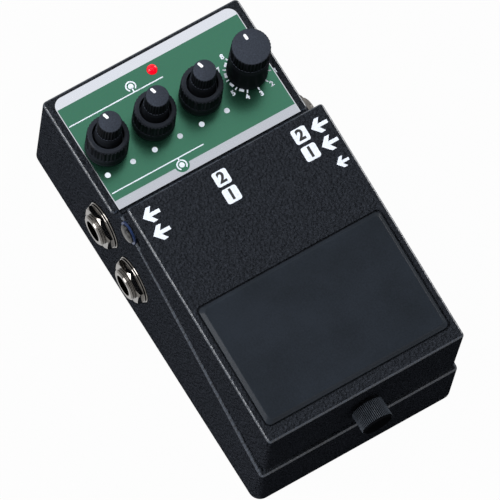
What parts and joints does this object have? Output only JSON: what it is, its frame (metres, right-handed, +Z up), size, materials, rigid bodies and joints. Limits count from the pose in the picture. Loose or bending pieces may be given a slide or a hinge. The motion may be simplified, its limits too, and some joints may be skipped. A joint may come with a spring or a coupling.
{
  "type": "delay pedal",
  "caption": "Compact delay foot pedal: wedge-shaped die-cast chassis, sprung hinged treadle with a rubber pad, concentric knobs, a dial selector, side jacks and a thumbscrew.",
  "frame": {"origin": "middle of the chassis footprint, on the surface the pedal stands on", "axes": "+X to the player's right, +Y to the rear, +Z up"},
  "size_m": [0.073, 0.1301, 0.0591],
  "materials": {
    "black_paint": "textured black paint on die-cast aluminium",
    "printed_plate": "printed aluminium plate, green field with pale bands",
    "zinc_steel": "zinc-plated steel",
    "base_rubber": "matt black rubber sheet",
    "pad_rubber": "dark grey moulded rubber",
    "board": "green circuit board",
    "pot_plastic": "moulded pot housing",
    "black_plastic": "black moulded plastic",
    "chrome": "nickel plating, polished",
    "lens": "clear red resin",
    "battery_wrap": "plain printed metal wrap",
    "nylon": "natural nylon",
    "blue_nylon": "blue nylon",
    "spring_wire": "bright spring wire",
    "knob_plastic": "charcoal knob plastic",
    "knob_rubber": "black knob plastic",
    "shaft_metal": "turned aluminium",
    "pointer_white": "white inlay"
  },
  "bodies": {
    "chassis": {"chassis": "black_paint", "control_plate": "printed_plate", "bottom_plate": "zinc_steel", "bottom_screws": "zinc_steel", "base_rubber": "base_rubber", "main_board": "board", "board_screws": "zinc_steel", "control_board": "board", "pot_bodies": "pot_plastic", "selector_body": "pot_plastic", "pot_nuts": "zinc_steel", "output_jack_1": "black_plastic", "output_jack_2": "black_plastic", "input_jack_1": "black_plastic", "input_jack_2": "black_plastic", "control_jack": "black_plastic", "jack_bushes": "chrome", "jack_washers": "chrome", "jack_nuts": "chrome", "dc_inlet": "black_plastic", "led_lens": "lens", "battery": "battery_wrap", "foot_switch": "black_plastic", "guide_bush": "nylon", "pivot_bushes": "blue_nylon"},
    "rocker": {"pivot_pins": "chrome", "coil_spring": "spring_wire"},
    "treadle": {"treadle": "black_paint", "treadle_pad": "pad_rubber", "spring_base": "nylon", "switch_presser": "black_plastic"},
    "thumbscrew": {"thumbscrew": "black_plastic"},
    "plunger": {"switch_plunger": "nylon"},
    "outer_1": {"outer_knob_1": "knob_rubber", "outer_shaft_1": "shaft_metal"},
    "inner_1": {"inner_knob_1": "knob_plastic", "inner_shaft_1": "shaft_metal", "inner_pointer_1": "pointer_white"},
    "outer_2": {"outer_knob_2": "knob_rubber", "outer_shaft_2": "shaft_metal"},
    "inner_2": {"inner_knob_2": "knob_plastic", "inner_shaft_2": "shaft_metal", "inner_pointer_2": "pointer_white"},
    "outer_3": {"outer_knob_3": "knob_rubber", "outer_shaft_3": "shaft_metal"},
    "inner_3": {"inner_knob_3": "knob_plastic", "inner_shaft_3": "shaft_metal", "inner_pointer_3": "pointer_white"},
    "selector": {"selector_knob": "knob_plastic", "selector_shaft": "shaft_metal", "selector_pointer": "pointer_white"}
  },
  "joints": [
    {"name": "treadle_open", "type": "hinge", "parent": "rocker", "child": "treadle", "pos_m": [0, 0.0136, 0.04379], "axis": [-1, 0, 0], "range_deg": [0, 60]},
    {"name": "treadle_press", "type": "hinge", "parent": "chassis", "child": "rocker", "pos_m": [0, 0.0136, 0.04379], "axis": [1, 0, 0], "range_deg": [0, 1.8], "stiffness_Nm_per_rad": 12, "springref_deg": -2.86, "deforming": ["coil_spring"]},
    {"name": "thumbscrew_turn", "type": "hinge", "parent": "treadle", "child": "thumbscrew", "pos_m": [0, -0.061, 0.0373], "axis": [0, 1, 0], "continuous": true},
    {"name": "switch_travel", "type": "slide", "parent": "chassis", "child": "plunger", "axis": [0, 0, -1], "range_m": [0, 0.0007]},
    {"name": "outer_knob_1_turn", "type": "hinge", "parent": "chassis", "child": "outer_1", "pos_m": [-0.02325, 0.0405, 0.045], "axis": [0, 0, 1], "range_deg": [-150, 150]},
    {"name": "inner_knob_1_turn", "type": "hinge", "parent": "chassis", "child": "inner_1", "pos_m": [-0.02325, 0.0405, 0.055], "axis": [0, 0, 1], "range_deg": [-162, 138]},
    {"name": "outer_knob_2_turn", "type": "hinge", "parent": "chassis", "child": "outer_2", "pos_m": [-0.00775, 0.0405, 0.045], "axis": [0, 0, 1], "range_deg": [-150, 150]},
    {"name": "inner_knob_2_turn", "type": "hinge", "parent": "chassis", "child": "inner_2", "pos_m": [-0.00775, 0.0405, 0.055], "axis": [0, 0, 1], "range_deg": [-162, 138]},
    {"name": "outer_knob_3_turn", "type": "hinge", "parent": "chassis", "child": "outer_3", "pos_m": [0.00775, 0.0405, 0.045], "axis": [0, 0, 1], "range_deg": [-150, 150]},
    {"name": "inner_knob_3_turn", "type": "hinge", "parent": "chassis", "child": "inner_3", "pos_m": [0.00775, 0.0405, 0.055], "axis": [0, 0, 1], "range_deg": [-162, 138]},
    {"name": "selector_turn", "type": "hinge", "parent": "chassis", "child": "selector", "pos_m": [0.02325, 0.0405, 0.05], "axis": [0, 0, 1], "range_deg": [-60, 240]}
  ],
  "couplings": [
    {"joint": "switch_travel", "follows": "treadle_press", "m_per_rad": 0.0216}
  ]
}
